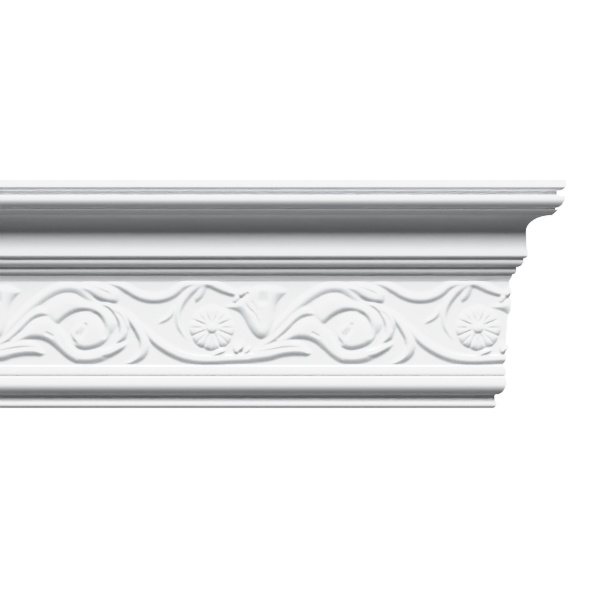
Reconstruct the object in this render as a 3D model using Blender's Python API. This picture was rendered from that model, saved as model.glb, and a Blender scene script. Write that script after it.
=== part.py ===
"""Cornice moulding length, cast in one piece with a carved running frieze.

The front faces -Y, the length runs along X and +Z is up. The origin is the middle of
the wall face. The left end is cut square and the right end is mitred for an outside corner.
"""

import math

import bmesh
import bpy
import numpy as np
from mathutils import Vector

MM = 0.001

# Length, measured at the long point of the mitre
long_point_length = 0.430
mitre_angle = math.radians(45.0)

# Heights of the members, from the foot up
lip_height = 0.0034
lip_rounding = 0.0024
lower_cove_height = 0.0056
torus_crease_height = 0.0010
torus_lower_height = 0.0090
torus_upper_height = 0.0050
astragal_lower_height = 0.0031
astragal_upper_height = 0.0052
frieze_height = 0.0630
bed_chamfer_height = 0.0038
bed_rounding_heights = (0.0034, 0.0052)
bed_face_heights = (0.0012, 0.0021, 0.0014)
cove_lip_height = 0.0026
cove_return_height = 0.0177
cove_height = 0.0120
nose_foot_height = 0.0023
nose_head_height = 0.0021
quirk_height = 0.0012
bead_lower_height = 0.0090
bead_upper_height = 0.0004
groove_height = 0.0034
crown_rounding_height = 0.0036
crown_face_height = 0.0053
crown_top_rounding = 0.0010

# How far each member stands out from the wall
lip_projection = 0.0122
lower_cove_projection = 0.0110
torus_foot_projection = 0.0120
torus_projection = 0.0197
torus_head_projection = 0.0180
astragal_projection = 0.0191
frieze_foot_projection = 0.0173
frieze_head_projection = 0.0219
frieze_camber = 0.0006
bed_projections = (0.0242, 0.0274, 0.0327)
bed_set_back = 0.0003
cove_lip_projection = 0.0357
cove_projection = 0.0345
nose_foot_projection = 0.0537
nose_projection = 0.0564
nose_head_projection = 0.0586
quirk_projection = 0.0562
bead_projection = 0.0635
groove_projection = 0.0574
crown_projection = 0.0638

# The back: a flat strip on the wall, a flat strip on the ceiling and a slope between
wall_strip_height = 0.1054
ceiling_strip_width = 0.0415

# The carving on the frieze
repeat = 0.2000
rosette_from_long_point = 0.0653
carving_height = 0.0626
relief_height = 0.0020
rosette_radius = 0.0174
rosette_rise = 0.0023
rosette_petals = 8
rosette_drop = 0.0035
boss_radius = 0.0052
steep_side = 0.0046
border_fade = 0.0013
grid_spacing = 0.0010

# Faces round each small, medium and large curve
small_steps = 3
medium_steps = 5
large_steps = 8
triangle_budget = 9600
tolerance = 1e-6


def arc(start, end, leaves_level, steps):
    """Quarter of an ellipse between two points, level at one end and upright at the other."""
    points = []
    for step in range(1, steps + 1):
        turn = math.pi / 2 * step / steps
        early = math.sin(turn)
        late = 1 - math.cos(turn)
        across, up = (early, late) if leaves_level else (late, early)
        points.append((start[0] + (end[0] - start[0]) * across, start[1] + (end[1] - start[1]) * up))
    return points


class Outline:
    """The section of the moulding, drawn from the foot up as (projection, height) points."""

    def __init__(self, projection, height):
        self.points = [(projection, height)]

    @property
    def level(self):
        return self.points[-1][1]

    def line(self, projection, rise=0.0):
        self.points.append((projection, self.level + rise))

    def out(self, projection, rise, steps):
        self.points += arc(self.points[-1], (projection, self.level + rise), True, steps)

    def over(self, projection, rise, steps):
        self.points += arc(self.points[-1], (projection, self.level + rise), False, steps)


def draw_foot():
    """Lip, lower cove, torus and astragal, up to the foot of the frieze."""
    foot = Outline(lip_projection - lip_rounding, 0.0)
    foot.out(lip_projection, lip_rounding, small_steps)
    foot.line(lip_projection, lip_height - lip_rounding)
    foot.out(lower_cove_projection, lower_cove_height, medium_steps)
    foot.over(torus_foot_projection, torus_crease_height, small_steps)
    foot.out(torus_projection, torus_lower_height, large_steps)
    foot.over(torus_head_projection, torus_upper_height, medium_steps)
    foot.out(astragal_projection, astragal_lower_height, medium_steps)
    foot.over(frieze_foot_projection, astragal_upper_height, medium_steps)
    return foot.points


def draw_head(foot_level):
    """Bed mouldings, cove, nose, bead and crown, from the head of the frieze up."""
    head = Outline(frieze_head_projection, foot_level + frieze_height)
    head.line(bed_projections[0], bed_chamfer_height)
    head.line(bed_projections[0] - bed_set_back, bed_face_heights[0])
    for projection, rounding, face in zip(bed_projections[1:], bed_rounding_heights, bed_face_heights[1:]):
        head.out(projection, rounding, medium_steps)
        head.line(projection - bed_set_back, face)
    head.out(cove_lip_projection, cove_lip_height, small_steps)
    start = head.level
    for step in range(1, medium_steps + 1):
        share = step / medium_steps
        depth = (cove_lip_projection - cove_projection) * (1 - share) ** 2
        head.points.append((cove_projection + depth, start + cove_return_height * share))
    head.over(nose_foot_projection, cove_height, large_steps)
    head.line(nose_projection, nose_foot_height)
    head.line(nose_head_projection, nose_head_height)
    head.line(quirk_projection)
    head.line(quirk_projection, quirk_height)
    head.out(bead_projection, bead_lower_height, medium_steps)
    head.over(groove_projection, bead_upper_height, small_steps)
    head.line(groove_projection, groove_height)
    head.out(crown_projection, crown_rounding_height, medium_steps)
    head.line(crown_projection, crown_face_height - crown_top_rounding)
    head.over(crown_projection - crown_top_rounding, crown_top_rounding, small_steps)
    return head.points


def swell(share):
    """Rises from 0 to 1, steep at first and level at the top."""
    share = np.clip(share, 0.0, 1.0)
    return share * (2.0 - share)


def smooth_line(points, steps=5):
    """A smooth curve through the points."""
    points = np.asarray(points)
    padded = np.vstack([2 * points[0] - points[1], points, 2 * points[-1] - points[-2]])
    curve = []
    for before, start, end, after in zip(padded, padded[1:], padded[2:], padded[3:]):
        for share in np.arange(steps) / steps:
            bend = 2 * before - 5 * start + 4 * end - after
            twist = 3 * start - before - 3 * end + after
            curve.append(start + 0.5 * ((end - before) * share + bend * share**2 + twist * share**3))
    curve.append(points[-1])
    return np.array(curve)


def nearest(across, up, line):
    """Distance of each place to the line, and how far along the line it is met."""
    best = np.full(across.shape, np.inf)
    along = np.zeros(across.shape)
    for index, (start, end) in enumerate(zip(line, line[1:])):
        step = end - start
        share = ((across - start[0]) * step[0] + (up - start[1]) * step[1]) / (step @ step)
        share = np.clip(share, 0.0, 1.0)
        far = np.hypot(across - start[0] - share * step[0], up - start[1] - share * step[1])
        closer = far < best
        best = np.where(closer, far, best)
        along = np.where(closer, (index + share) / (len(line) - 1), along)
    return best, along


def inside(across, up, outline):
    """True at each place that the closed outline holds."""
    odd = np.zeros(across.shape, bool)
    for (left, low), (right, high) in zip(outline, np.roll(outline, -1, axis=0)):
        if low == high:
            continue
        level = (low > up) != (high > up)
        odd ^= level & (across < left + (up - low) * (right - left) / (high - low))
    return odd


class Panel:
    """Height of the carving over a grid, in shares of the relief height.

    Positions are in hundredths: across, of the repeat, from the rosette; up, of the
    carving height, from the middle of the frieze. Widths are in millimetres.
    """

    def __init__(self, columns, rows):
        self.columns = columns
        self.rows = rows
        self.height = np.zeros((len(rows), len(columns)))
        self.shift = 0

    def place(self, points):
        return [((self.shift + across / 100) * repeat, up / 100 * carving_height) for across, up in points]

    def window(self, points, margin):
        low = points.min(axis=0) - margin
        high = points.max(axis=0) + margin
        across = slice(*np.searchsorted(self.columns, (low[0], high[0])))
        up = slice(*np.searchsorted(self.rows, (low[1], high[1])))
        return (up, across), *np.meshgrid(self.columns[across], self.rows[up])

    def lift(self, where, form):
        self.height[where] = np.maximum(self.height[where], form)

    def stem(self, points, widths, height=1.0):
        """A round stem whose half width changes evenly through the widths."""
        line = smooth_line(self.place(points))
        widths = np.array(widths) * MM
        where, across, up = self.window(line, widths.max())
        far, along = nearest(across, up, line)
        width = np.interp(along, np.linspace(0, 1, len(widths)), widths)
        rise = np.sqrt(np.clip(1 - (far / width) ** 2, 0, 1))
        self.lift(where, height * np.minimum(1, width / widths.max() * 1.2) * rise)

    def leaf(self, front, back, height=1.0, back_width=6.0, front_width=steep_side / MM):
        """A leaf that rises steeply from its front edge and falls off gently to its back edge."""
        front = smooth_line(self.place(front))
        back = smooth_line(self.place(back))
        outline = np.vstack([front, back])
        foot = front_width * MM / 5
        where, across, up = self.window(outline, foot)
        sign = np.where(inside(across, up, outline), 1.0, -1.0)
        rise = swell((sign * nearest(across, up, front)[0] + foot) / (front_width * MM))
        fall = swell((sign * nearest(across, up, back)[0] + foot) / (back_width * MM))
        self.lift(where, height * rise * fall)

    def groove(self, points, width, depth):
        """A soft groove that runs out at both ends."""
        line = smooth_line(self.place(points))
        where, across, up = self.window(line, 3 * width * MM)
        far, along = nearest(across, up, line)
        fade = np.clip(np.minimum(along, 1 - along) * 6, 0, 1)
        self.height[where] -= depth * fade * np.exp(-((far / (width * MM)) ** 2))


def carve_upper_stem(panel):
    """Runs from the scroll down and up again to the tendril, and on to the bell flower."""
    panel.stem(
        [(61, 48), (66, 44), (71, 35), (77, 30), (84, 34), (89, 44), (95, 48), (98, 48)],
        (1, 3.6, 3.9, 3.2),
    )
    panel.stem([(-3, 47.5), (2, 44), (5, 40), (8, 36.5), (11, 34)], (3.2, 3.6, 2.4))


def carve_tendril(panel):
    """Curls down round the left of the rosette, with a small leaf on each side."""
    panel.stem(
        [(-3, 47.3), (-8, 39), (-11.7, 22), (-12.8, 5), (-12.3, -3.6), (-9, -20)],
        (3.3, 3.6, 3.0, 2.5, 1.9, 0.5),
    )
    panel.leaf([(-2, 44), (-3.5, 32), (-6.4, 24.6)], [(-6.4, 24.6), (-5.4, 38), (-4, 44)], 0.8, 2.2)
    panel.leaf([(-13.8, 18), (-16, 5), (-20.7, -1)], [(-20.7, -1), (-17, 9), (-14.7, 21.6)], 0.8, 3.0)


def carve_rosette(panel):
    """Round flower of paired petals about a domed boss."""
    middle = np.array([(panel.shift * repeat, -rosette_drop)])
    where, across, up = panel.window(middle, rosette_radius * 1.1)
    across = across - middle[0, 0]
    up = up - middle[0, 1]
    radius = np.hypot(across, up)
    turn = np.arctan2(across, up) / (2 * np.pi) * rosette_petals + 0.5
    rim = rosette_radius * (0.93 + 0.07 * np.sqrt(np.abs(np.sin(np.pi * turn))))
    petal_width = 2 * np.pi * radius / rosette_petals
    off_seam = np.abs(turn - np.round(turn)) * petal_width
    off_vein = np.abs(turn - np.floor(turn) - 0.5) * petal_width
    seam = np.exp(-((off_seam / (1.0 * MM)) ** 2)) * np.clip((radius - 0.8 * boss_radius) / (3 * MM), 0, 1)
    vein = np.exp(-((off_vein / (0.8 * MM)) ** 2)) * np.clip((radius - 1.5 * boss_radius) / (3 * MM), 0, 1)
    bowl = 0.62 + 0.38 * np.clip(radius / rosette_radius, 0, 1) ** 1.5 - 0.35 * seam - 0.14 * vein
    body = np.sqrt(np.clip(1 - (radius / rim) ** 4, 0, 1)) * bowl
    boss = 1.1 * np.sqrt(np.clip(1 - (radius / boss_radius) ** 2, 0, 1))
    panel.lift(where, np.maximum(body, boss) * rosette_rise / relief_height)


def carve_lower_stem(panel):
    """Sweeps up from behind the last scroll to the foot of the next, with a small slotted sheath."""
    panel.stem(
        [(-26, -5), (-21.5, -20.7), (-15, -34), (-7.6, -42.3), (0.3, -43.8), (10, -42.3), (19, -39.5)],
        (4.0, 4.2, 4.2, 3.9, 3.8),
    )
    panel.leaf([(-0.5, -41.2), (4, -36.4), (5.3, -31)], [(5.3, -31), (1, -36), (-0.5, -41.2)], 0.7, 2.2, 2.2)
    panel.leaf(
        [(5.6, -42), (7.5, -40), (10, -41), (12.5, -40.5), (14.6, -37), (14.9, -31.5)],
        [(14.9, -31.5), (12.8, -26.5), (10, -22.8), (7.6, -27), (5.6, -36)],
        1.0,
        3.0,
        3.0,
    )
    panel.groove([(9.3, -22.5), (9.1, -31), (9.2, -42)], 1.2, 0.6)


def carve_acanthus(panel):
    """Leaves that fan out from the end of the lower stem."""
    panel.leaf(
        [(14.5, -47.3), (22, -44), (29, -38.7), (35.8, -38.7), (37.7, -36)],
        [(37.7, -36), (34.3, -29.3), (25.7, -30), (14.5, -36)],
        back_width=3.8,
    )
    panel.leaf(
        [(15.2, -36), (22, -33.5), (29, -30.4), (36.6, -33)],
        [(36.6, -33), (34.3, -25), (26.5, -21.6), (16, -31)],
        0.95,
        4.5,
        2.4,
    )
    panel.leaf(
        [(26.5, -24), (32, -18.8), (38.5, -22.8), (44.5, -39), (51.9, -48.4), (60.9, -43.4)],
        [(60.9, -43.4), (59, -31), (51, -34), (45, -20.4), (40.7, 4.8), (35, 6), (28, -12), (23.5, -21.6)],
        back_width=6.8,
        front_width=3.6,
    )
    panel.leaf(
        [(16.7, -30.5), (22.4, -24), (28.4, -9), (34, 6), (40.7, 8.6)],
        [(40.7, 8.6), (36, 18), (31.3, 13), (22.7, -14.4), (17.5, -27)],
        1.05,
        4.9,
    )
    panel.leaf(
        [(18, -27.5), (24, -10.8), (30, 8.4), (36.6, 25), (43, 36), (46, 37.4), (48.6, 36.3), (53, 27),
         (57, 21.6)],
        [(57, 21.6), (51, 45.5), (46.7, 48.5), (41.8, 46.7), (32, 27.5), (23, -2.4), (17.5, -26.3)],
    )
    panel.leaf(
        [(51, 38.3), (56, 30), (62, 24), (64.2, 25), (65.2, 31)],
        [(65.2, 31), (61.3, 45), (51.9, 48), (49.3, 43)],
        1.1,
        4.5,
    )


def carve_volute(panel):
    """The scroll's ring, the bud inside it and the lobes that wrap it."""
    panel.leaf(
        [(41, -5), (43.7, 3.8), (49.3, 14), (52.3, 15), (54.9, 13.7), (58.7, 2.6), (59.6, -6)],
        [(59.6, -13), (64.9, -10.8), (63.2, 10.8), (57, 25), (48, 34), (41, 29), (37.7, 12), (40, -4.8)],
        back_width=8.2,
    )
    panel.leaf(
        [(42, -6), (46.7, -24), (51, -45.5)],
        [(48, -46), (43.3, -25), (41.5, -4.8)],
        0.85,
        3.0,
        2.6,
    )
    panel.leaf(
        [(46.7, -3.6), (46, -17.4), (51.9, -32), (58, -27.3), (61.8, -12), (60.2, 7.2)],
        [(60.2, 7.2), (54, 15), (47.8, 4.8), (46.7, -3.6)],
        0.95,
        16.0,
        3.4,
    )
    panel.groove([(51.8, 0), (53, -6.6), (50.6, -21.6)], 1.2, 0.3)
    panel.groove([(57.5, 14), (60.9, -2.4), (60, -20), (57, -28)], 1.6, 0.45)
    panel.leaf(
        [(55.3, -41.3), (57, -43), (64, -37), (68.8, -22.8)],
        [(68.8, -22.8), (61.7, -28.7), (55.3, -36)],
        1.0,
        4.5,
        2.7,
    )
    panel.leaf(
        [(63.4, -25), (67.6, -18), (69, -2.4), (66.2, 16.2), (62.4, 23.4)],
        [(62.4, 23.4), (58, 24), (63.2, 9.6), (65, -9.6), (63.4, -25)],
        1.0,
        2.6,
        2.7,
    )
    panel.groove([(63.2, 15.6), (65.8, 7.8), (67.7, -10.8)], 1.2, 0.3)


def carve_crescent(panel):
    """Long leaf that curls down the right of the scroll."""
    panel.leaf(
        [(65.4, 18.6), (71, 7.2), (75.6, -14.4), (75.7, -36.5), (70.3, -48.5), (66.2, -50)],
        [(66.2, -50), (71.4, -38.3), (72.5, -21), (69.4, -2.4), (65.4, 18.6)],
        back_width=3.0,
    )


def carve_bell_flower(panel):
    """Bell flower that hangs from the end of the upper stem, with a hollow behind its middle petal."""
    panel.leaf(
        [(4, 20), (8.5, 16.4), (12.2, 5.4), (15.4, -11.7), (19, -18.4), (22.4, -9.6), (23.7, 13.2),
         (28.2, 38.3)],
        [(28.2, 38.3), (22.4, 43.7), (18.2, 43.7), (11.9, 30), (4, 20)],
        1.15,
        4.5,
        4.8,
    )
    panel.groove([(11.5, 27.5), (15.8, 11.4), (17.9, -4.8)], 1.1, 0.28)
    panel.groove([(19.9, 22.8), (19.9, -4.8)], 0.9, 0.15)
    panel.groove([(19.2, 45), (19.2, 38.3), (19, 22)], 2.7, 0.6)
    panel.stem([(8.9, 27), (10, 33), (12.2, 37.7), (14, 37.7)], (2.3, 3.2, 2.4), 1.1)
    panel.groove([(9.4, 35.3), (11.3, 28)], 0.9, 0.3)


def carve_frieze(columns, rows):
    """Height of the carving at each row and column of the frieze, in metres."""
    panel = Panel(columns, rows)
    first = math.floor(columns[0] / repeat) - 1
    last = math.ceil(columns[-1] / repeat)
    for copy in range(first, last + 1):
        panel.shift = copy
        carve_upper_stem(panel)
        carve_tendril(panel)
        carve_rosette(panel)
        carve_lower_stem(panel)
        carve_acanthus(panel)
        carve_volute(panel)
        carve_crescent(panel)
        carve_bell_flower(panel)
    to_border = frieze_height / 2 - np.abs(rows)
    return np.clip(panel.height, 0, None) * relief_height * np.clip(to_border / border_fade, 0, 1)[:, None]


def frieze_grid(foot_level, left, right):
    """Points of the carved face, row by row from the foot up."""
    columns = np.linspace(left, right, math.ceil((right - left) / grid_spacing) + 1)
    rows = np.linspace(-0.5, 0.5, math.ceil(frieze_height / grid_spacing) + 1) * frieze_height
    rosette_place = long_point - rosette_from_long_point
    height = carve_frieze(columns - rosette_place, rows)
    lean = frieze_head_projection - frieze_foot_projection
    face = math.hypot(lean, frieze_height)
    outward = np.array([0.0, -frieze_height / face, -lean / face])
    points = []
    for row, carving in zip(rows, height):
        share = row / frieze_height + 0.5
        projection = frieze_foot_projection + lean * share + frieze_camber * 4 * share * (1 - share)
        base = np.array([0.0, -projection, foot_level + frieze_height * share])
        points.append([base + (x, 0.0, 0.0) + outward * rise for x, rise in zip(columns, carving)])
    return points


def keep_side(mesh, point, outward):
    """Cuts the body square along a plane, drops what lies outward of it and closes the cut."""
    geometry = mesh.verts[:] + mesh.edges[:] + mesh.faces[:]
    bmesh.ops.bisect_plane(
        mesh, geom=geometry, dist=tolerance / 10, plane_co=point, plane_no=outward, clear_outer=True
    )
    rim = [edge for edge in mesh.edges if edge.is_boundary and on_plane(edge, point, outward)]
    bmesh.ops.triangle_fill(mesh, edges=rim, use_beauty=True, normal=outward)


def on_plane(edge, point, outward):
    return all(abs((vertex.co - Vector(point)).dot(outward)) < tolerance for vertex in edge.verts)


def make_body(foot, head, foot_level):
    """The closed body: plain members drawn along the length, with the carved face between them."""
    left = square_end - 2 * grid_spacing
    right = long_point + 2 * grid_spacing
    back = [(crown_projection - ceiling_strip_width, head[-1][1]), (0.0, foot[0][1] + wall_strip_height)]
    around = head + back + [(0.0, foot[0][1])] + foot
    mesh = bmesh.new()
    grid = [[mesh.verts.new(point) for point in row] for row in frieze_grid(foot_level, left, right)]
    for lower, upper in zip(grid, grid[1:]):
        for corner in range(len(lower) - 1):
            mesh.faces.new((lower[corner], lower[corner + 1], upper[corner + 1], upper[corner]))
    rails = [[grid[-1][0], grid[-1][-1]]]
    for projection, level in around[1:-1]:
        rails.append([mesh.verts.new((x, -projection, level)) for x in (left, right)])
    rails.append([grid[0][0], grid[0][-1]])
    for lower, upper in zip(rails[1:-2], rails[2:-1]):
        mesh.faces.new((lower[0], lower[1], upper[1], upper[0]))
    mesh.faces.new(grid[-1] + [rails[1][1], rails[1][0]])
    mesh.faces.new([rails[-2][0], rails[-2][1]] + grid[0][::-1])
    keep_side(mesh, (square_end, 0.0, 0.0), Vector((-1.0, 0.0, 0.0)))
    keep_side(mesh, (wall_end, 0.0, 0.0), Vector((math.cos(mitre_angle), math.sin(mitre_angle), 0.0)))
    bmesh.ops.recalc_face_normals(mesh, faces=mesh.faces)
    bmesh.ops.triangulate(mesh, faces=[face for face in mesh.faces if len(face.verts) > 3])
    return mesh


def thin_carving(piece, foot_level):
    """Leaves the carved face only as many triangles as its form needs."""
    mesh = piece.data
    carved = []
    for vertex in mesh.vertices:
        x, y, z = vertex.co
        on_frieze = foot_level - tolerance < z < foot_level + frieze_height + tolerance
        from_mitre = (x - wall_end) * math.cos(mitre_angle) + y * math.sin(mitre_angle)
        at_end = x - square_end < tolerance or abs(from_mitre) < tolerance
        if on_frieze and y < -tolerance and not at_end:
            carved.append(vertex.index)
    group = piece.vertex_groups.new(name="carving")
    group.add(carved, 1.0, "REPLACE")
    thin = piece.modifiers.new("Thin the carving", "DECIMATE")
    thin.vertex_group = group.name
    thin.ratio = min(1.0, triangle_budget / len(mesh.polygons))


def make_material():
    material = bpy.data.materials.new("White primed polyurethane")
    material.use_nodes = True
    shader = material.node_tree.nodes["Principled BSDF"]
    shader.inputs["Base Color"].default_value = (0.82, 0.82, 0.83, 1.0)
    shader.inputs["Roughness"].default_value = 0.6
    shader.inputs["Metallic"].default_value = 0.0
    return material


def make_moulding():
    foot = [(projection, level - wall_strip_height / 2) for projection, level in draw_foot()]
    foot_level = foot[-1][1]
    head = draw_head(foot_level)
    body = make_body(foot, head, foot_level)
    mesh = bpy.data.meshes.new("cornice_moulding")
    body.to_mesh(mesh)
    body.free()
    mesh.materials.append(make_material())
    piece = bpy.data.objects.new("cornice_moulding", mesh)
    bpy.context.scene.collection.objects.link(piece)
    thin_carving(piece, foot_level)


wall_length = long_point_length - crown_projection * math.tan(mitre_angle)
square_end = -wall_length / 2
wall_end = wall_length / 2
long_point = square_end + long_point_length

for old in list(bpy.data.objects):
    bpy.data.objects.remove(old, do_unlink=True)
make_moulding()
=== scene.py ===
"""Looks of the cornice moulding length: one cast piece with a carved frieze, in white primed foam."""

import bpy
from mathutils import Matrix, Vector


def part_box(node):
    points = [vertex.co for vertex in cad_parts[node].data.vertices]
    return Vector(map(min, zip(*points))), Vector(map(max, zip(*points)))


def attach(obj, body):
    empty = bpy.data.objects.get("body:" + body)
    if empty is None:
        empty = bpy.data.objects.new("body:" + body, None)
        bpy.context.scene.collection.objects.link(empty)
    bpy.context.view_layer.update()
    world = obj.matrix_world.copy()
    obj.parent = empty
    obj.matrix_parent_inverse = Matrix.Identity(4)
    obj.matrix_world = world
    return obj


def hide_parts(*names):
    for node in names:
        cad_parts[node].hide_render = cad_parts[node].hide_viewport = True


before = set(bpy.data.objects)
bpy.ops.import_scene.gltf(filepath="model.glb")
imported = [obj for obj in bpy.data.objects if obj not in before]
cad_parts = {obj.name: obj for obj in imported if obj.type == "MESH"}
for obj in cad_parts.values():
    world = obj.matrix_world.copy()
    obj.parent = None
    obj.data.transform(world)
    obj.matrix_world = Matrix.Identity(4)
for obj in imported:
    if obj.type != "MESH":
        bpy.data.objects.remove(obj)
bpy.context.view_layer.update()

import math

import bmesh
import bpy
import numpy as np
from mathutils import Vector

MM = 0.001
NODE = "cornice_moulding"

# Overall sizes, read from the part's box in model.glb
low, high = (Vector(corner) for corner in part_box(NODE))
foot_of_body = low.z
crown_projection = -low.y
square_end = low.x
long_point = high.x
wall_end = long_point - crown_projection
mitre_outward = Vector((1.0, 1.0, 0.0)).normalized()

# Heights of the members, from the foot up
lip_height = 3.4 * MM
lip_rounding = 2.4 * MM
lower_cove_height = 5.6 * MM
torus_crease_height = 1.0 * MM
torus_lower_height = 9.0 * MM
torus_upper_height = 5.0 * MM
astragal_lower_height = 3.1 * MM
astragal_upper_height = 5.2 * MM
frieze_height = 63.0 * MM
bed_chamfer_height = 3.8 * MM
bed_rounding_heights = (3.4 * MM, 5.2 * MM)
bed_face_heights = (1.2 * MM, 2.1 * MM, 1.4 * MM)
cove_lip_height = 2.6 * MM
cove_return_height = 17.7 * MM
cove_height = 12.0 * MM
nose_foot_height = 2.3 * MM
nose_head_height = 2.1 * MM
quirk_height = 1.2 * MM
bead_lower_height = 9.0 * MM
bead_upper_height = 0.4 * MM
groove_height = 3.4 * MM
crown_rounding_height = 3.6 * MM
crown_face_height = 5.3 * MM
crown_top_rounding = 1.0 * MM

# How far each member stands out from the wall
lip_projection = 12.2 * MM
lower_cove_projection = 11.0 * MM
torus_foot_projection = 12.0 * MM
torus_projection = 19.7 * MM
torus_head_projection = 18.0 * MM
astragal_projection = 19.1 * MM
frieze_foot_projection = 17.3 * MM
frieze_head_projection = 21.9 * MM
frieze_camber = 0.6 * MM
bed_projections = (24.2 * MM, 27.4 * MM, 32.7 * MM)
bed_set_back = 0.3 * MM
cove_lip_projection = 35.7 * MM
cove_projection = 34.5 * MM
nose_foot_projection = 53.7 * MM
nose_projection = 56.4 * MM
nose_head_projection = 58.6 * MM
quirk_projection = 56.2 * MM
bead_projection = 63.5 * MM
groove_projection = 57.4 * MM

# The back
wall_strip_height = 105.4 * MM
ceiling_strip_width = 41.5 * MM

# The carving
repeat = 200.0 * MM
rosette_from_long_point = 65.3 * MM
carving_height = 62.6 * MM
relief_height = 2.1 * MM
softness = 0.7 * MM
rosette_radius = 17.4 * MM
rosette_rise = 2.2 * MM
rosette_petals = 8
rosette_drop = 3.5 * MM
boss_radius = 5.0 * MM
border_fade = 1.4 * MM

# Leaves: how many times its given width the steep side takes, and the share of it outside the outline
side_share = 1.5
foot_share = 1 / 6

# Finish of the mesh
grid_spacing = 0.56 * MM
corner_ease = 0.3 * MM
corner_turn = math.radians(24)
crease_turn = math.radians(40)
plane_tolerance = 0.001 * MM
cut_tolerance = 0.0001 * MM

# Steps in the curves of the section, from the smallest members to the cove
top_steps = 4
small_steps = 5
return_steps = 6
plain_steps = 8
bead_steps = 10
torus_steps = 14
cove_steps = 20


def arc(start, end, leaves_level, steps):
    """Quarter of an ellipse between two points, level at one end and upright at the other."""
    points = []
    for step in range(1, steps + 1):
        turn = math.pi / 2 * step / steps
        early, late = math.sin(turn), 1 - math.cos(turn)
        across, up = (early, late) if leaves_level else (late, early)
        points.append((start[0] + (end[0] - start[0]) * across, start[1] + (end[1] - start[1]) * up))
    return points


class Outline:
    """The section of the moulding, drawn from the foot up as (projection, height) points."""

    def __init__(self, projection, height):
        self.points = [(projection, height)]

    @property
    def level(self):
        return self.points[-1][1]

    def line(self, projection, rise=0.0):
        self.points.append((projection, self.level + rise))

    def out(self, projection, rise, steps=plain_steps):
        self.points += arc(self.points[-1], (projection, self.level + rise), True, steps)

    def over(self, projection, rise, steps=plain_steps):
        self.points += arc(self.points[-1], (projection, self.level + rise), False, steps)


def ease_corners(points):
    """Puts a small rounding on each sharp corner between the first and last points."""
    eased = [points[0]]
    for before, corner, after in zip(points, points[1:], points[2:]):
        before, corner, after = (np.array(place) for place in (before, corner, after))
        back, ahead = before - corner, after - corner
        reach = min(corner_ease, np.linalg.norm(back) / 3, np.linalg.norm(ahead) / 3)
        back /= np.linalg.norm(back)
        ahead /= np.linalg.norm(ahead)
        if math.acos(np.clip(-back @ ahead, -1, 1)) < corner_turn:
            eased.append(tuple(corner))
            continue
        for share in (0.0, 0.5, 1.0):
            bend = corner + (1 - share) ** 2 * reach * back + share**2 * reach * ahead
            eased.append(tuple(bend))
    eased.append(points[-1])
    return eased


def draw_foot():
    """Lip, lower cove, torus and astragal, up to the foot of the frieze."""
    foot = Outline(lip_projection - lip_rounding, foot_of_body)
    foot.out(lip_projection, lip_rounding, small_steps)
    foot.line(lip_projection, lip_height - lip_rounding)
    foot.out(lower_cove_projection, lower_cove_height)
    foot.over(torus_foot_projection, torus_crease_height, small_steps)
    foot.out(torus_projection, torus_lower_height, torus_steps)
    foot.over(torus_head_projection, torus_upper_height)
    foot.out(astragal_projection, astragal_lower_height)
    foot.over(frieze_foot_projection, astragal_upper_height)
    return foot.points


def draw_head(foot_level):
    """Bed mouldings, cove, fillets, bead and crown, from the head of the frieze up."""
    head = Outline(frieze_head_projection, foot_level + frieze_height)
    head.line(bed_projections[0], bed_chamfer_height)
    head.line(bed_projections[0] - bed_set_back, bed_face_heights[0])
    upper_beds = zip(bed_projections[1:], bed_rounding_heights, bed_face_heights[1:])
    for projection, rounding, face in upper_beds:
        head.out(projection, rounding)
        head.line(projection - bed_set_back, face)
    head.out(cove_lip_projection, cove_lip_height)
    start = head.level
    for step in range(1, return_steps + 1):
        share = step / return_steps
        depth = (cove_lip_projection - cove_projection) * (1 - share) ** 2
        head.points.append((cove_projection + depth, start + cove_return_height * share))
    head.over(nose_foot_projection, cove_height, cove_steps)
    head.line(nose_projection, nose_foot_height)
    head.line(nose_head_projection, nose_head_height)
    head.line(quirk_projection)
    head.line(quirk_projection, quirk_height)
    head.out(bead_projection, bead_lower_height, bead_steps)
    head.over(groove_projection, bead_upper_height)
    head.line(groove_projection, groove_height)
    head.out(crown_projection, crown_rounding_height, bead_steps)
    head.line(crown_projection, crown_face_height - crown_top_rounding)
    head.over(crown_projection - crown_top_rounding, crown_top_rounding, top_steps)
    return head.points


def swell(share):
    """Rises from 0 to 1, steep at first and level at the top."""
    share = np.clip(share, 0.0, 1.0)
    return share * (1.5 - 0.5 * share**2)


def smooth_line(points, steps=6):
    """A smooth curve through the points."""
    points = np.asarray(points)
    padded = np.vstack([2 * points[0] - points[1], points, 2 * points[-1] - points[-2]])
    curve = []
    for before, start, end, after in zip(padded, padded[1:], padded[2:], padded[3:]):
        for share in np.arange(steps) / steps:
            bend = 2 * before - 5 * start + 4 * end - after
            twist = 3 * start - before - 3 * end + after
            curve.append(start + 0.5 * ((end - before) * share + bend * share**2 + twist * share**3))
    curve.append(points[-1])
    return np.array(curve)


def nearest(across, up, line):
    """Distance of each place to the line, and how far along the line it is met."""
    best = np.full(across.shape, np.inf)
    along = np.zeros(across.shape)
    for index, (start, end) in enumerate(zip(line, line[1:])):
        step = end - start
        share = ((across - start[0]) * step[0] + (up - start[1]) * step[1]) / (step @ step)
        share = np.clip(share, 0.0, 1.0)
        far = np.hypot(across - start[0] - share * step[0], up - start[1] - share * step[1])
        closer = far < best
        best = np.where(closer, far, best)
        along = np.where(closer, (index + share) / (len(line) - 1), along)
    return best, along


def inside(across, up, outline):
    """True at each place that the closed outline holds."""
    odd = np.zeros(across.shape, bool)
    for (left, bottom), (right, top) in zip(outline, np.roll(outline, -1, axis=0)):
        if bottom == top:
            continue
        level = (bottom > up) != (top > up)
        odd ^= level & (across < left + (up - bottom) * (right - left) / (top - bottom))
    return odd


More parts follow.
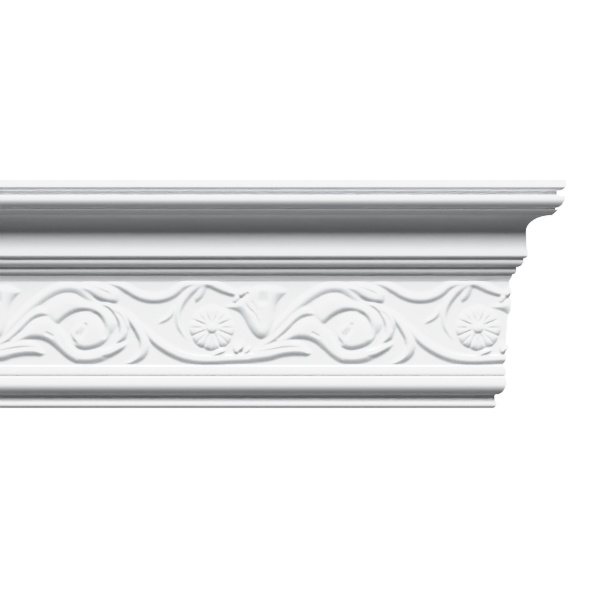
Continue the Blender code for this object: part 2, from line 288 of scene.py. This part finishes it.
class Panel:
    """Height of the carving over a grid, in shares of the relief height.

    Positions are in hundredths: across, of the repeat, from the rosette; up, of the
    carving height, from the middle of the frieze. Widths are in millimetres.
    """

    def __init__(self, columns, rows):
        self.columns = columns
        self.rows = rows
        self.height = np.zeros((len(rows), len(columns)))
        self.shift = 0

    def place(self, points):
        return [((self.shift + across / 100) * repeat, up / 100 * carving_height) for across, up in points]

    def window(self, points, margin):
        start = points.min(axis=0) - margin
        end = points.max(axis=0) + margin
        across = slice(*np.searchsorted(self.columns, (start[0], end[0])))
        up = slice(*np.searchsorted(self.rows, (start[1], end[1])))
        return (up, across), *np.meshgrid(self.columns[across], self.rows[up])

    def lift(self, where, form):
        self.height[where] = np.maximum(self.height[where], form)

    def stem(self, points, widths, height=0.88):
        """A round stem whose half width changes evenly through the widths."""
        line = smooth_line(self.place(points))
        widths = np.array(widths) * MM
        where, across, up = self.window(line, widths.max())
        far, along = nearest(across, up, line)
        width = np.interp(along, np.linspace(0, 1, len(widths)), widths)
        rise = np.clip(1 - (far / width) ** 2, 0, 1)
        self.lift(where, height * np.minimum(1, width / widths.max() * 1.2) * rise)

    def leaf(self, front, back, height=1.0, back_width=6.0, front_width=5.0):
        """A leaf that rises steeply from its front edge and falls off gently to its back edge."""
        front = smooth_line(self.place(front))
        back = smooth_line(self.place(back))
        outline = np.vstack([front, back])
        side = front_width * side_share * MM
        foot = side * foot_share
        where, across, up = self.window(outline, foot)
        sign = np.where(inside(across, up, outline), 1.0, -1.0)
        rise = swell((sign * nearest(across, up, front)[0] + foot) / side)
        fall = swell((sign * nearest(across, up, back)[0] + foot) / (back_width * MM))
        self.lift(where, height * rise * fall)

    def groove(self, points, width, depth):
        """A soft groove that runs out at both ends."""
        line = smooth_line(self.place(points))
        where, across, up = self.window(line, 3 * width * MM)
        far, along = nearest(across, up, line)
        fade = np.clip(np.minimum(along, 1 - along) * 6, 0, 1)
        self.height[where] -= depth * fade * np.exp(-((far / (width * MM)) ** 2))

    def scoop(self, points, width, depth):
        """A flat-bottomed hollow that deepens evenly along its line and stops short at the deep end."""
        line = smooth_line(self.place(points))
        where, across, up = self.window(line, 2 * width * MM)
        far, along = nearest(across, up, line)
        self.height[where] -= depth * along * np.exp(-((far / (width * MM)) ** 4))

    def soften(self, spread):
        """Blurs the carving over the spread, as moulding and primer do."""
        for axis, spacing in ((0, self.rows[1] - self.rows[0]), (1, self.columns[1] - self.columns[0])):
            reach = math.ceil(3 * spread / spacing)
            weights = np.exp(-0.5 * (np.arange(-reach, reach + 1) * spacing / spread) ** 2)
            weights /= weights.sum()
            self.height = np.apply_along_axis(np.convolve, axis, self.height, weights, "same")


def carve_upper_stem(panel):
    """Runs from the scroll down and up again to the tendril, and on to the bell flower."""
    panel.stem(
        [(60.9, 47.9), (63.9, 46.3), (66.2, 44), (68.8, 39.8), (71.4, 35), (74.4, 31.4), (77.4, 29.9),
         (80.8, 30.4), (84.2, 33.8), (86.8, 38.9), (89, 44.3), (91.6, 46.9), (94.6, 47.9), (97.3, 47.9)],
        (0.8, 3.4, 3.9, 3.9, 3.4, 3.2),
    )
    panel.stem(
        [(-2.7, 47.9), (-0.5, 47.2), (2.1, 43.7), (4.8, 40), (7.8, 36.5), (10.7, 34.1)],
        (3.2, 3.6, 2.4),
    )


def carve_tendril(panel):
    """Curls down round the left of the rosette, with a small leaf on each side."""
    panel.stem(
        [(-2.7, 47.3), (-5.4, 44.3), (-8, 38.9), (-10, 31.1), (-11.7, 22.2), (-12.7, 13.2), (-12.8, 4.8),
         (-12.3, -3.6), (-11, -12), (-9.1, -19.8)],
        (3.3, 3.8, 3.0, 2.6, 2.0, 0.5),
    )
    panel.leaf(
        [(-2, 44.3), (-2.5, 38.3), (-3.5, 31.7), (-5, 26.9), (-6.4, 24.6)],
        [(-6.4, 24.6), (-6.3, 31.1), (-5.4, 38.3), (-3.9, 44.3)],
        0.8, 2.2, 2.6,
    )
    panel.leaf(
        [(-13.8, 18), (-14.5, 10.2), (-16, 4.8), (-18.3, 0.8), (-20.7, -1)],
        [(-20.7, -1), (-19.2, 4.2), (-17, 9), (-15.8, 14.4), (-14.7, 21.6)],
        0.8, 3.0, 3.0,
    )


def carve_rosette(panel):
    """Round flower of paired petals about a domed boss."""
    seam_width = 0.9 * MM
    vein_width = 0.7 * MM
    crease_fade = 3.0 * MM
    middle = np.array([(panel.shift * repeat, -rosette_drop)])
    where, across, up = panel.window(middle, rosette_radius * 1.1)
    across = across - middle[0, 0]
    up = up - middle[0, 1]
    radius = np.hypot(across, up)
    turn = np.arctan2(across, up) / (2 * np.pi) * rosette_petals + 0.5
    rim = rosette_radius * (0.93 + 0.07 * np.sqrt(np.abs(np.sin(np.pi * turn))))
    petal_width = 2 * np.pi * radius / rosette_petals
    off_seam = np.abs(turn - np.round(turn)) * petal_width
    off_vein = np.abs(turn - np.floor(turn) - 0.5) * petal_width
    seam = np.exp(-((off_seam / seam_width) ** 2)) * np.clip((radius - 0.8 * boss_radius) / crease_fade, 0, 1)
    vein = np.exp(-((off_vein / vein_width) ** 2)) * np.clip((radius - 1.3 * boss_radius) / crease_fade, 0, 1)
    bowl = 0.66 + 0.34 * np.clip(radius / rosette_radius, 0, 1) ** 1.5 - 0.3 * seam - 0.22 * vein
    body = np.clip(1 - (radius / rim) ** 6, 0, 1) * bowl
    boss = 1.25 * np.sqrt(np.clip(1 - (radius / boss_radius) ** 2, 0, 1))
    panel.lift(where, np.maximum(body, boss) * rosette_rise / relief_height)


def carve_lower_stem(panel):
    """Sweeps up from behind the last scroll to the foot of the next, with a leaf and three buds on it."""
    panel.stem(
        [(-26, -4.8), (-23.7, -13.2), (-21.5, -20.7), (-18.5, -27.9), (-15.1, -34.1), (-11.3, -39.3),
         (-7.6, -42.3), (-3.9, -43.6), (0.3, -43.8), (4.8, -43.1), (10, -42.3), (14.5, -41.7), (19, -39.5)],
        (2.4, 3.8, 4.2, 4.2, 3.9, 3.8),
    )
    panel.leaf(
        [(-0.5, -41.2), (2.1, -39.5), (4.2, -36.8), (5.6, -31.1)],
        [(5.6, -31.1), (3.1, -30.9), (0.6, -35), (-0.5, -41.2)],
        1.0, 2.2, 2.0,
    )
    panel.stem([(9.1, -23), (8.9, -29), (9.2, -34)], (0.9, 1.9, 2.4), 1.3)
    panel.stem([(11.5, -23), (11.1, -28), (10.6, -31)], (1.0, 2.1, 2.1), 1.1)
    panel.stem([(13.9, -30), (13.2, -33), (12.6, -35)], (1.5, 2.1, 1.7), 0.9)


def carve_acanthus(panel):
    """Leaves that fan out from the end of the lower stem."""
    panel.leaf(
        [(14.5, -47.3), (18.2, -45.9), (22, -44.1), (25.4, -40.7), (29.1, -38.7), (32.8, -38.3),
         (35.8, -38.7), (37.7, -35.9)],
        [(37.7, -35.9), (34.3, -29.3), (30.6, -28.1), (25.7, -29.9), (20.5, -32.9), (14.5, -35.9)],
        1.0, 3.8, 3.4,
    )
    panel.leaf(
        [(15.2, -35.9), (19, -34.7), (22, -33.5), (25.4, -31.6), (29.1, -30.4), (33.2, -30.7),
         (36.6, -32.9)],
        [(36.6, -32.9), (34.3, -25.1), (31, -21), (26.5, -21.6), (21.2, -25.7), (16, -31.1)],
        0.95, 4.5, 2.4,
    )
    panel.leaf(
        [(26.5, -24), (29.1, -20.7), (32.1, -18.8), (35.5, -19.2), (38.5, -22.8), (41.5, -30.3),
         (44.5, -38.9), (47.8, -46), (51.9, -48.4), (56.4, -47.2), (60.9, -43.4)],
        [(60.9, -43.4), (59.4, -31.1), (54.9, -33.5), (51.2, -34.1), (47.5, -29.9), (44.8, -20.4),
         (43, -7.2), (40.7, 4.8), (37, 8.4), (32.5, 2.4), (28, -12), (23.5, -21.6)],
        1.0, 6.8, 3.6,
    )
    panel.leaf(
        [(16.7, -30.5), (19.7, -27.5), (22.4, -24), (25.4, -17.5), (28.4, -9.1), (31.3, 0), (34, 6),
         (37.3, 8.1), (40.7, 8.6)],
        [(40.7, 8.6), (37.7, 16.8), (34.7, 18.6), (31.3, 13.2), (27.2, 0.6), (22.7, -14.4), (17.5, -26.9)],
        1.05, 4.9, 3.4,
    )
    panel.leaf(
        [(18.2, -27.5), (21.2, -20.4), (24.2, -10.8), (27.2, -1.2), (30.2, 8.4), (33.2, 16.4), (36.6, 25.1),
         (40, 31.9), (43, 35.9), (46, 37.4), (48.6, 36.3), (50.8, 31.7), (53.4, 26.3), (57.2, 21.6)],
        [(57.2, 21.6), (54.9, 33.5), (51.2, 45.5), (46.7, 48.5), (41.8, 46.7), (37, 39.5), (32.1, 27.5),
         (27.6, 13.2), (23.1, -2.4), (19.7, -18), (17.5, -26.3)],
    )
    panel.leaf(
        [(51.2, 38.3), (53.4, 35.2), (56.1, 30.2), (59.1, 25.9), (62.1, 24), (64.2, 24.9), (65.2, 31.1)],
        [(65.2, 31.1), (64.3, 38.3), (61.3, 44.9), (56.8, 47.9), (51.9, 47.9), (49.3, 43.1)],
        1.1, 4.5, 3.0,
    )


def carve_acanthus_veins(panel):
    """Fine lines on the curled tip and between the long leaves."""
    panel.groove([(51.2, 44.3), (54.2, 44), (57.2, 41.4), (60.2, 37.1), (62.4, 33.5)], 1.0, 0.22)
    panel.groove([(37, -10.8), (39, -13.8), (40.7, -16.8)], 1.0, 0.25)


def carve_volute(panel):
    """The scroll's ring, the bud inside it and the lobes that wrap it."""
    panel.leaf(
        [(41.1, -4.8), (41.8, -2.2), (43.7, 3.8), (46.3, 9.9), (49.3, 14), (52.3, 15.1), (54.9, 13.7),
         (57.2, 9.3), (58.7, 2.6), (59.6, -6)],
        [(60.5, -14), (62.2, -12.5), (63.8, -6), (64.4, 1.2), (63.2, 10.8), (60.6, 19.2), (56.8, 25.1),
         (51.9, 29.3), (48.2, 34.1), (44.5, 34.7), (40.7, 29.3), (37.7, 19.2), (37.7, 6), (40, -4.8)],
        1.0, 8.2, 3.2,
    )
    panel.leaf(
        [(42.2, -6), (44.8, -12), (46.7, -24), (49.7, -35.9), (51.2, -45.5)],
        [(48.2, -46.1), (45.2, -37.1), (43.3, -25.1), (42.2, -13.2), (41.5, -4.8)],
        0.85, 3.0, 2.6,
    )
    panel.leaf(
        [(46.7, -3.6), (45.8, -9.6), (46.1, -17.4), (47.4, -24), (49.3, -29.5), (51.9, -31.9),
         (54.9, -30.7), (57.9, -27.3), (60.4, -21), (61.8, -12), (61.8, -2.4), (60.2, 7.2)],
        [(60.2, 7.2), (57.9, 13.2), (54.2, 15), (50.4, 12), (47.8, 4.8), (46.7, -3.6)],
        0.95, 16.0, 3.4,
    )
    panel.stem([(51, -1.5), (49.6, -7), (49, -14)], (1.8, 2.8, 1.6), 1.12)
    panel.leaf(
        [(55.3, -41.3), (57.2, -42.9), (60.9, -41.2), (63.9, -36.9), (66.6, -31.1), (68.8, -22.8)],
        [(68.8, -22.8), (65.4, -24), (61.7, -28.7), (57.9, -32.3), (55.3, -35.9)],
        1.0, 4.5, 2.7,
    )
    panel.leaf(
        [(63.4, -25.1), (65.8, -23.5), (67.6, -18), (68.5, -10.2), (69.1, -2.4), (68.4, 7.2), (66.2, 16.2),
         (62.4, 23.4)],
        [(62.4, 23.4), (57.9, 24), (60.9, 18), (63.2, 9.6), (64.7, 0), (65.1, -9.6), (64.5, -18),
         (63.4, -25.1)],
        1.0, 2.6, 2.7,
    )


def carve_volute_creases(panel):
    """The curl at the heart of the scroll and the fold between its outer lobes."""
    panel.groove([(54.5, 12), (57.2, 7), (58.9, -2.4), (59.6, -12), (59, -19)], 1.7, 0.5)
    panel.groove([(52.2, 1), (52.6, -5), (51.4, -12), (50, -19)], 1.5, 0.42)
    panel.groove([(46.6, 2), (46.2, -8), (47.2, -18), (49.4, -27)], 1.5, 0.42)
    panel.groove([(63.2, 15.6), (65.8, 7.8), (67.2, -1.8), (67.7, -10.8)], 1.1, 0.3)


def carve_crescent(panel):
    """Long leaf that curls down the right of the scroll."""
    panel.leaf(
        [(65.4, 18.6), (68.4, 13.8), (71, 7.2), (73.7, -3), (75.6, -14.4), (76.5, -26.3), (75.7, -36.5),
         (73.5, -44.3), (70.3, -48.5), (66.2, -50.1)],
        [(66.2, -50.1), (69.2, -44.9), (71.4, -38.3), (72.7, -29.9), (72.5, -21), (71.2, -12), (69.4, -2.4),
         (67.3, 8.4), (65.4, 18.6)],
        1.0, 3.0, 3.2,
    )


def carve_bell_flower(panel):
    """Bell flower that hangs from the end of the upper stem, with a collar."""
    panel.leaf(
        [(4, 20), (6.3, 18.4), (8.5, 16.4), (10.6, 12.8), (12.2, 5.4), (13.7, -3.6), (15.4, -11.7),
         (17.1, -16.8), (19, -18.4), (20.9, -16.2), (22.4, -9.6), (23.4, 1.2), (23.7, 13.2), (24.3, 22.8),
         (25.7, 30.5), (28.2, 38.3)],
        [(28.2, 38.3), (25.4, 41.9), (22.4, 43.7), (18.2, 43.7), (14.5, 39.5), (11.9, 29.9), (8.5, 23.4),
         (4, 20)],
        1.15, 4.5, 4.9,
    )
    panel.stem([(8.9, 26.9), (10, 32.9), (12.2, 37.7), (14.1, 37.7)], (2.3, 3.2, 2.4), 1.1)


def carve_flower_folds(panel):
    """Folds between the petals, the hollow behind the middle one and the nicks in the collar."""
    panel.groove([(11.5, 27.5), (13.7, 17.6), (15.8, 11.4), (17, 3.6), (17.9, -4.8)], 1.1, 0.28)
    panel.groove([(14.5, 27.5), (16, 19.8), (16.9, 13.2)], 1.0, 0.18)
    panel.groove([(18.4, 18), (18.5, 7.2)], 0.8, 0.15)
    panel.groove([(19.9, 22.8), (19.9, -4.8)], 0.8, 0.15)
    panel.scoop([(19.2, 45), (19.2, 36), (19.1, 27)], 3.2, 0.75)
    panel.groove([(9.4, 35.3), (11.3, 28.1)], 0.9, 0.3)
    panel.groove([(12.1, 40.7), (13.7, 34.1)], 0.9, 0.3)


SOFT_FORMS = (
    carve_upper_stem, carve_tendril, carve_lower_stem, carve_acanthus, carve_volute, carve_crescent,
    carve_bell_flower,
)
FINE_FORMS = (carve_rosette, carve_acanthus_veins, carve_volute_creases, carve_flower_folds)


def carve_frieze(columns, rows):
    """Height of the carving at each row and column of the frieze, in metres."""
    panel = Panel(columns, rows)
    copies = range(math.floor(columns[0] / repeat) - 1, math.ceil(columns[-1] / repeat) + 1)
    for forms, spread in ((SOFT_FORMS, softness), (FINE_FORMS, softness / 3)):
        for panel.shift in copies:
            for carve in forms:
                carve(panel)
        panel.soften(spread)
    to_border = frieze_height / 2 - np.abs(rows)
    return np.clip(panel.height, 0, None) * relief_height * np.clip(to_border / border_fade, 0, 1)[:, None]


def frieze_grid(foot_level, left, right):
    """Points of the carved face, row by row from the foot up."""
    columns = np.linspace(left, right, math.ceil((right - left) / grid_spacing) + 1)
    rows = np.linspace(-0.5, 0.5, math.ceil(frieze_height / grid_spacing) + 1) * frieze_height
    height = carve_frieze(columns - (long_point - rosette_from_long_point), rows)
    lean = frieze_head_projection - frieze_foot_projection
    face = math.hypot(lean, frieze_height)
    share = (rows / frieze_height + 0.5)[:, None]
    projection = frieze_foot_projection + lean * share + frieze_camber * 4 * share * (1 - share)
    points = np.empty(height.shape + (3,))
    points[..., 0] = columns
    points[..., 1] = -projection - height * frieze_height / face
    points[..., 2] = foot_level + frieze_height * share - height * lean / face
    return points


def on_plane(edge, point, outward):
    return all(abs((vertex.co - Vector(point)).dot(outward)) < plane_tolerance for vertex in edge.verts)


def keep_side(mesh, point, outward):
    """Cuts the body along a plane, drops what lies outward of it and closes the cut."""
    geometry = mesh.verts[:] + mesh.edges[:] + mesh.faces[:]
    bmesh.ops.bisect_plane(
        mesh, geom=geometry, dist=cut_tolerance, plane_co=point, plane_no=outward, clear_outer=True
    )
    rim = [edge for edge in mesh.edges if edge.is_boundary and on_plane(edge, point, outward)]
    bmesh.ops.triangle_fill(mesh, edges=rim, use_beauty=True, normal=outward)


def build_moulding():
    """The closed body: plain members drawn along the length, with the carved face between them."""
    foot = ease_corners(draw_foot())
    foot_level = foot[-1][1]
    head = ease_corners(draw_head(foot_level))
    left, right = square_end - 2 * grid_spacing, long_point + 2 * grid_spacing
    back = [(crown_projection - ceiling_strip_width, high.z), (0.0, foot_of_body + wall_strip_height)]
    around = head + back + [(0.0, foot_of_body)] + foot
    mesh = bmesh.new()
    grid = [[mesh.verts.new(point) for point in row] for row in frieze_grid(foot_level, left, right)]
    for lower, upper in zip(grid, grid[1:]):
        for corner in range(len(lower) - 1):
            mesh.faces.new((lower[corner], lower[corner + 1], upper[corner + 1], upper[corner]))
    rails = [[grid[-1][0], grid[-1][-1]]]
    for projection, level in around[1:-1]:
        rails.append([mesh.verts.new((x, -projection, level)) for x in (left, right)])
    rails.append([grid[0][0], grid[0][-1]])
    for lower, upper in zip(rails[1:-2], rails[2:-1]):
        mesh.faces.new((lower[0], lower[1], upper[1], upper[0]))
    mesh.faces.new(grid[-1] + [rails[1][1], rails[1][0]])
    mesh.faces.new([rails[-2][0], rails[-2][1]] + grid[0][::-1])
    keep_side(mesh, (square_end, 0.0, 0.0), Vector((-1.0, 0.0, 0.0)))
    keep_side(mesh, (wall_end, 0.0, 0.0), mitre_outward)
    bmesh.ops.recalc_face_normals(mesh, faces=mesh.faces)
    data = bpy.data.meshes.new("carved_moulding")
    mesh.to_mesh(data)
    mesh.free()
    data.shade_smooth()
    data.set_sharp_from_angle(angle=crease_turn)
    piece = bpy.data.objects.new("carved_moulding", data)
    bpy.context.scene.collection.objects.link(piece)
    return piece


class Signal:
    """A value in a material that takes part in sums; each operation adds one Math node."""

    def __init__(self, sheet, socket):
        self.sheet = sheet
        self.socket = socket

    def math(self, operation, first, second=0.0):
        return self.sheet.add("ShaderNodeMath", {"operation": operation}, {0: first, 1: second})

    def __add__(self, other):
        return self.math("ADD", self, other)

    __radd__ = __add__

    def __sub__(self, other):
        return self.math("SUBTRACT", self, other)

    def __rsub__(self, other):
        return self.math("SUBTRACT", other, self)

    def __mul__(self, other):
        return self.math("MULTIPLY", self, other)

    __rmul__ = __mul__

    def above(self, limit):
        return self.math("GREATER_THAN", self, limit)


class Sheet:
    """The node tree of a material or of the surround."""

    def __init__(self, owner):
        owner.use_nodes = True
        self.nodes = owner.node_tree.nodes
        self.links = owner.node_tree.links

    def add(self, kind, settings=None, inputs=None, output=0):
        """Adds a node, sets its settings, then its sockets, and gives one output."""
        node = self.nodes.new(kind)
        for name, value in (settings or {}).items():
            setattr(node, name, value)
        self.feed(node, inputs or {})
        return Signal(self, node.outputs[output])

    def feed(self, node, inputs):
        for name, value in inputs.items():
            if isinstance(value, Signal):
                self.links.new(value.socket, node.inputs[name])
            else:
                node.inputs[name].default_value = value

    def facing(self, normal, direction):
        """How squarely the surface faces a direction, 1 at most."""
        inputs = {0: normal, 1: direction}
        return self.add("ShaderNodeVectorMath", {"operation": "DOT_PRODUCT"}, inputs, "Value")

    def noise(self, place, scale, detail):
        inputs = {"Vector": place, "Scale": scale, "Detail": detail, "Roughness": 0.5}
        return self.add("ShaderNodeTexNoise", None, inputs, "Fac")

    def blend(self, share, first, second):
        settings = {"data_type": "RGBA"}
        return self.add("ShaderNodeMix", settings, {"Factor": share, 6: first, 7: second}, 2)


def primed_foam():
    """White primer on the cast skin, planed foam behind and sawn foam at the ends."""
    primer_colours = (0.80, 0.808, 0.82, 1.0), (0.83, 0.836, 0.845, 1.0)
    planed_colours = (0.70, 0.68, 0.62, 1.0), (0.78, 0.765, 0.72, 1.0)
    core_colours = (0.62, 0.57, 0.46, 1.0), (0.80, 0.765, 0.68, 1.0)
    cloud_rise = 0.02 * MM
    speck_rise = 0.03 * MM
    streak_rise = 0.3 * MM
    cell_rise = 0.4 * MM
    facing_end = 0.98
    facing_back = 0.3
    material = bpy.data.materials.new("white primed foam")
    sheet = Sheet(material)
    place = sheet.add("ShaderNodeTexCoord", None, None, "Object")
    normal = sheet.add("ShaderNodeNewGeometry", None, None, "True Normal")
    left_end = sheet.facing(normal, (-1, 0, 0)).above(facing_end)
    mitre_end = sheet.facing(normal, tuple(mitre_outward)).above(facing_end)
    sawn = left_end + mitre_end
    behind = sheet.facing(normal, (0, 1, 0)).above(facing_back) * (1 - sawn)
    cloud = sheet.noise(place, 14.0, 3.0)
    speck = sheet.noise(place, 900.0, 2.0)
    cell_inputs = {"Vector": place, "Scale": 1400.0, "Randomness": 1.0}
    cell = sheet.add("ShaderNodeTexVoronoi", {"feature": "F1"}, cell_inputs, "Distance")
    drawn_out = {0: place, 1: (8.0, 300.0, 300.0)}
    streak = sheet.noise(sheet.add("ShaderNodeVectorMath", {"operation": "MULTIPLY"}, drawn_out), 1.0, 3.0)
    primer = sheet.blend(cloud, *primer_colours)
    planed = sheet.blend(streak, *planed_colours)
    core = sheet.blend(cell, *core_colours)
    colour = sheet.blend(sawn, sheet.blend(behind, primer, planed), core)
    rough = 0.5 + cloud * 0.1 + speck * 0.06 + sawn * 0.3 + behind * 0.2
    rise = speck * speck_rise + cloud * cloud_rise + behind * streak * streak_rise + sawn * cell * cell_rise
    bump = sheet.add("ShaderNodeBump", None, {"Strength": 1.0, "Distance": 1.0, "Height": rise}, "Normal")
    finish = {"Base Color": colour, "Roughness": rough, "Normal": bump, "Specular IOR Level": 0.35}
    sheet.feed(sheet.nodes["Principled BSDF"], finish)
    return material


def pale_floor():
    """Plain pale paint, a little uneven."""
    material = bpy.data.materials.new("pale floor")
    sheet = Sheet(material)
    place = sheet.add("ShaderNodeTexCoord", None, None, "Object")
    cloud = sheet.noise(place, 1.5, 3.0)
    colour = sheet.blend(cloud, (0.78, 0.78, 0.78, 1.0), (0.82, 0.82, 0.82, 1.0))
    sheet.feed(sheet.nodes["Principled BSDF"], {"Base Color": colour, "Roughness": 0.8})
    return material


def build_floor():
    """Room floor, a ceiling height below the moulding."""
    half_width = 2.0
    level = -2.3
    corners = [(half_width * x, half_width * y, level) for x, y in ((-1, -1), (1, -1), (1, 1), (-1, 1))]
    data = bpy.data.meshes.new("floor")
    data.from_pydata(corners, [], [(0, 1, 2, 3)])
    data.materials.append(pale_floor())
    floor = bpy.data.objects.new("floor", data)
    bpy.context.scene.collection.objects.link(floor)


def light_scene():
    """A broad soft key from the front and above, on a white surround with little light of its own."""
    key_width = 1.0
    key_height = 1.25
    key_energy = 83.0
    lift = math.radians(51.5)
    distance = 2.0
    aside = 0.08
    fill_colour = (0.11, 0.11, 0.113, 1.0)
    seen_colour = (1.7, 1.7, 1.7, 1.0)
    key = bpy.data.lights.new("key", "AREA")
    key.shape = "RECTANGLE"
    key.size = key_width
    key.size_y = key_height
    key.energy = key_energy
    holder = bpy.data.objects.new("key", key)
    holder.location = (aside, -distance * math.cos(lift), distance * math.sin(lift))
    holder.rotation_euler = holder.location.to_track_quat("Z", "Y").to_euler()
    bpy.context.scene.collection.objects.link(holder)
    world = bpy.data.worlds.new("surround")
    sheet = Sheet(world)
    seen = sheet.add("ShaderNodeLightPath", None, None, "Is Camera Ray")
    sheet.feed(sheet.nodes["Background"], {"Color": sheet.blend(seen, fill_colour, seen_colour)})
    bpy.context.scene.world = world


def set_tones():
    """Lets the whites roll off softly below the white of the surround."""
    white = 1.6
    tones = (
        (0.125, 0.15), (0.25, 0.345), (0.45, 0.71), (0.52, 0.82), (0.6, 0.875), (0.75, 0.905), (0.93, 0.925),
    )
    view = bpy.context.scene.view_settings
    view.view_transform = "Standard"
    view.use_curve_mapping = True
    view.curve_mapping.white_level = (white, white, white)
    curve = view.curve_mapping.curves[3]
    for light, tone in tones:
        curve.points.new(light, tone)
    view.curve_mapping.update()


def place_camera():
    """Straight in front, level and far off, with the long point of the mitre at the right."""
    picture_size = 600
    metres_per_pixel = 0.75 * MM
    long_point_pixel = 565.5
    top_pixel = 178.93
    lens = 1600.0
    film = 36.0
    camera = bpy.data.cameras.new("camera")
    camera.sensor_width = film
    camera.lens = lens
    camera.clip_end = 60.0
    frame_width = picture_size * metres_per_pixel
    distance = frame_width * lens / film
    holder = bpy.data.objects.new("camera", camera)
    holder.location = (
        long_point - (long_point_pixel - picture_size / 2) * metres_per_pixel,
        -crown_projection - distance,
        high.z - (picture_size / 2 - top_pixel) * metres_per_pixel,
    )
    holder.rotation_euler = (math.pi / 2, 0.0, 0.0)
    bpy.context.scene.collection.objects.link(holder)
    bpy.context.scene.camera = holder


moulding = build_moulding()
moulding.data.materials.append(primed_foam())
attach(moulding, "root")
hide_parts(NODE)
build_floor()
light_scene()
set_tones()
place_camera()
